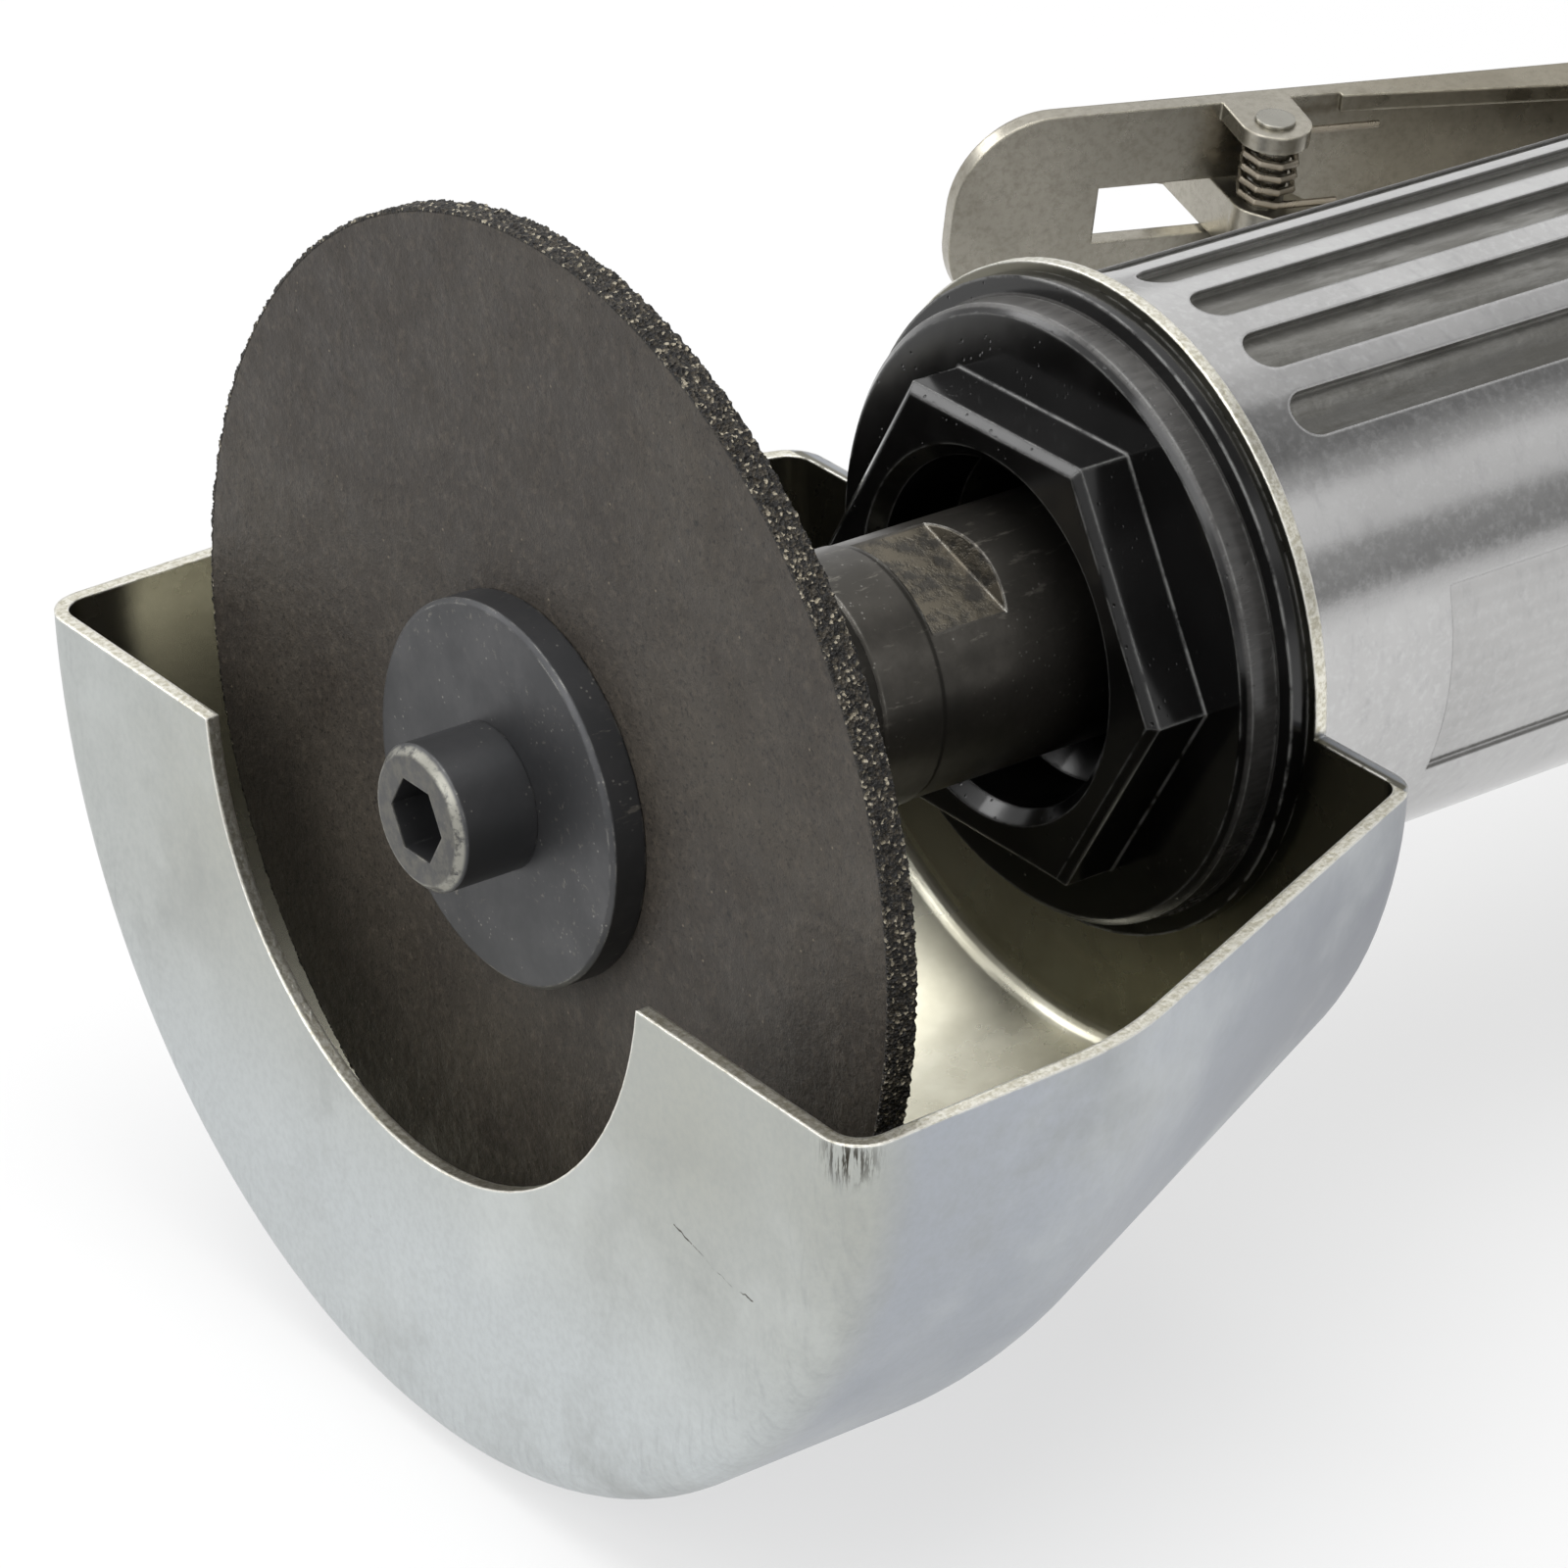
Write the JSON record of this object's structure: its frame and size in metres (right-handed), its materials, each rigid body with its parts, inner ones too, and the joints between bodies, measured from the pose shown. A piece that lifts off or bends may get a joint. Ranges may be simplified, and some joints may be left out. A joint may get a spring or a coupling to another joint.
{
  "type": "pneumatic cut-off tool",
  "caption": "Hand-held in-line pneumatic cut-off tool: vane motor in a fluted aluminium housing, lever throttle with lock-off, clamped half guard and thin abrasive wheel.",
  "frame": {"origin": "centre of the air inlet's mouth, on the tool's axis", "axes": "+X out of the air inlet along the tool's axis, so the cutting wheel lies toward -X; +Z through the open side of the guard; the throttle lever stands toward +Y, turned 8 degrees toward +Z"},
  "size_m": [0.1804, 0.0953, 0.0843],
  "materials": {
    "cast_aluminium": "polished, with rough flute floors",
    "zinc_sheet": "satin zinc plate",
    "black_metal": "glossy black",
    "dark_steel": "dark satin, turned",
    "flange_steel": "black oxide, worn at the edges",
    "abrasive": "fibre and grit",
    "lever_steel": "nickel plated sheet",
    "pin_steel": "bright",
    "spring_steel": "drawn wire",
    "bearing_steel": "ground",
    "cast_iron": "machined",
    "blade_resin": "cloth and resin",
    "brass": "turned",
    "rubber": "matte",
    "felt": "pressed felt",
    "inlet_steel": "plated, turned hexagon"
  },
  "bodies": {
    "tool_body": {"housing": "cast_aluminium", "clamp_nut": "black_metal", "clamp_washer": "black_metal", "front_end_plate": "cast_iron", "cylinder_liner": "cast_iron", "rear_end_plate": "cast_iron", "locating_pin": "pin_steel", "front_outer_race": "bearing_steel", "rear_outer_race": "bearing_steel", "lever_pin": "pin_steel", "valve_spring": "spring_steel", "valve_plug": "brass", "air_inlet": "inlet_steel", "rear_cover": "black_metal", "muffler": "felt"},
    "spindle_unit": {"rotor": "dark_steel", "rotor_blade_1": "blade_resin", "rotor_blade_2": "blade_resin", "rotor_blade_3": "blade_resin", "rotor_blade_4": "blade_resin", "spindle": "dark_steel", "inner_flange": "dark_steel", "cutting_wheel": "abrasive", "outer_flange": "flange_steel", "cap_screw": "flange_steel", "front_inner_race": "bearing_steel", "rear_inner_race": "bearing_steel"},
    "front_ball_set": {"front_bearing_balls": "bearing_steel"},
    "rear_ball_set": {"rear_bearing_balls": "bearing_steel"},
    "guard_unit": {"guard": "zinc_sheet"},
    "lever_unit": {"throttle_lever": "lever_steel", "lock_pin": "pin_steel", "lock_spring": "spring_steel"},
    "lock_unit": {"lock_off_lever": "lever_steel"},
    "stem_unit": {"throttle_stem": "brass", "stem_seal": "rubber"},
    "regulator_unit": {"air_regulator": "brass", "regulator_seal": "rubber"}
  },
  "joints": [
    {"name": "spindle_spin", "type": "hinge", "parent": "tool_body", "child": "spindle_unit", "pos_m": [-0.12, 0, 0], "axis": [1, 0, 0], "continuous": true},
    {"name": "front_balls_orbit", "type": "hinge", "parent": "tool_body", "child": "front_ball_set", "pos_m": [-0.1119, 0, 0], "axis": [1, 0, 0], "continuous": true},
    {"name": "rear_balls_orbit", "type": "hinge", "parent": "tool_body", "child": "rear_ball_set", "pos_m": [-0.0589, 0, 0], "axis": [1, 0, 0], "continuous": true},
    {"name": "guard_swivel", "type": "hinge", "parent": "tool_body", "child": "guard_unit", "pos_m": [-0.1246, 0, 0], "axis": [1, 0, 0], "continuous": true},
    {"name": "throttle_press", "type": "hinge", "parent": "tool_body", "child": "lever_unit", "pos_m": [-0.0278, 0.0203, 0.00285], "axis": [0, -0.1392, 0.9903], "range_deg": [0, 12], "stiffness_Nm_per_rad": 1.2, "springref_deg": -8.59},
    {"name": "stem_slide", "type": "slide", "parent": "tool_body", "child": "stem_unit", "axis": [0, -0.9903, -0.1392], "range_m": [0, 0.0029], "deforming": ["valve_spring"]},
    {"name": "lock_off_swing", "type": "hinge", "parent": "lever_unit", "child": "lock_unit", "pos_m": [-0.07845, 0.03579, 0.00503], "axis": [0, -0.1392, 0.9903], "range_deg": [0, 48]},
    {"name": "regulator_turn", "type": "hinge", "parent": "tool_body", "child": "regulator_unit", "pos_m": [-0.024, -0.0208, -0.00292], "axis": [0, -0.9903, -0.1392], "range_deg": [0, 90]}
  ],
  "couplings": [
    {"joint": "front_balls_orbit", "follows": "spindle_spin", "ratio": 0.4207},
    {"joint": "rear_balls_orbit", "follows": "spindle_spin", "ratio": 0.4167},
    {"joint": "stem_slide", "follows": "throttle_press", "m_per_rad": 0.013845},
    {"joint": "lock_off_swing", "follows": "throttle_press", "ratio": 4}
  ]
}
